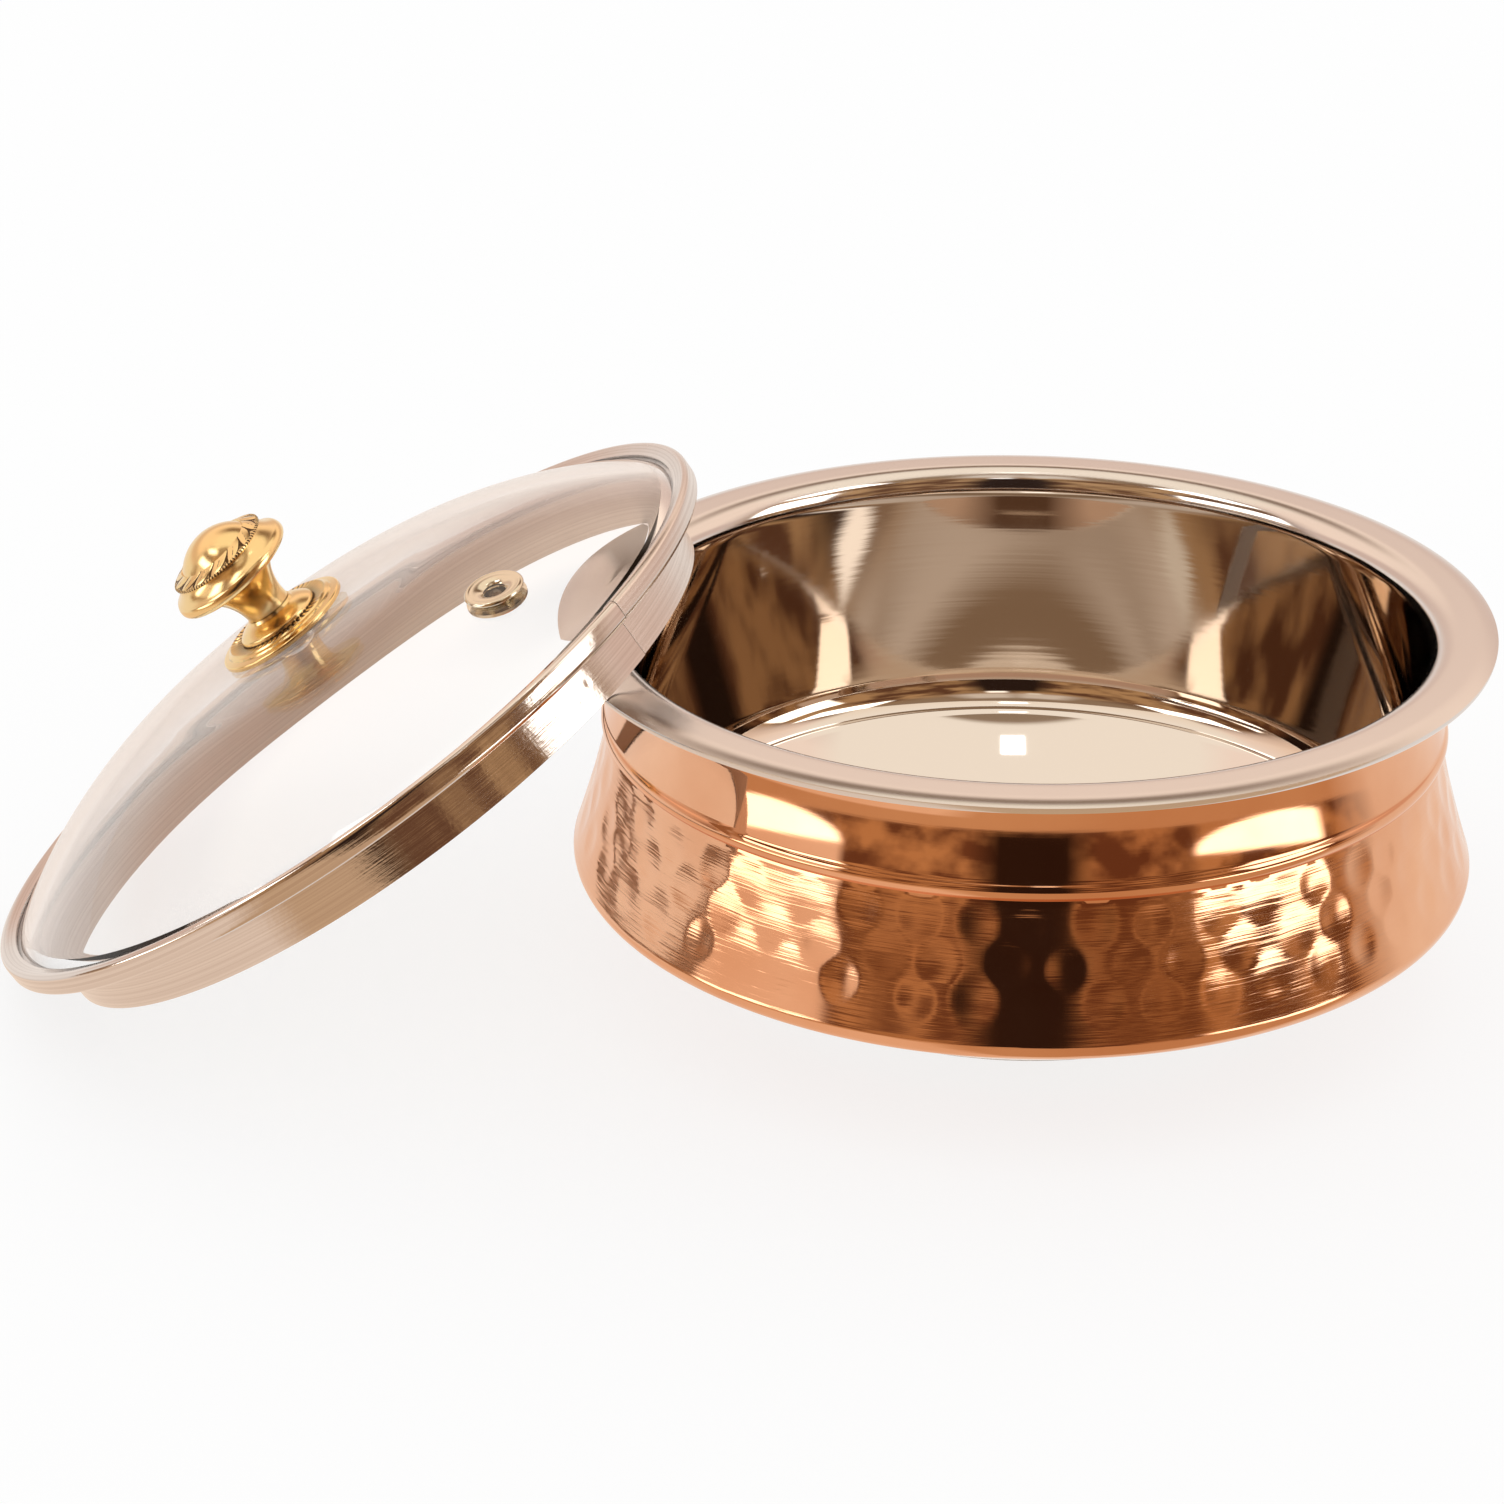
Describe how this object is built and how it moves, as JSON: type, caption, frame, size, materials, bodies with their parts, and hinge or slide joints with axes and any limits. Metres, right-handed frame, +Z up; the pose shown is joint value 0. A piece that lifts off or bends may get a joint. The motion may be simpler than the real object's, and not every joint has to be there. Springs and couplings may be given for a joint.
{
  "type": "handi pot",
  "caption": "Low round handi with a steel bowl in a hammered copper shell, its domed glass lid with a brass knob leaning on the rim.",
  "frame": {"origin": "centre of the pot's standing face, on the table", "axes": "+Z up along the pot's axis, -X towards the leaning lid, -Y towards the viewer"},
  "size_m": [0.3098, 0.19, 0.1039],
  "materials": {
    "steel": "bright spun stainless steel",
    "copper": "polished hammered copper",
    "band_steel": "bright rolled strip",
    "glass": "clear tempered glass",
    "brass": "polished cast brass, dark in the carving",
    "seal": "translucent silicone"
  },
  "bodies": {
    "root": {"inner_bowl": "steel", "copper_shell": "copper", "base_plate": "steel", "rim_band": "band_steel", "glass_dome": "glass", "vent_eyelet": "band_steel", "vent_ring": "band_steel", "knob_rosette": "brass", "knob": "brass", "upper_gasket": "seal", "lower_gasket": "seal", "screw_washer": "band_steel", "knob_screw": "band_steel"}
  },
  "joints": []
}
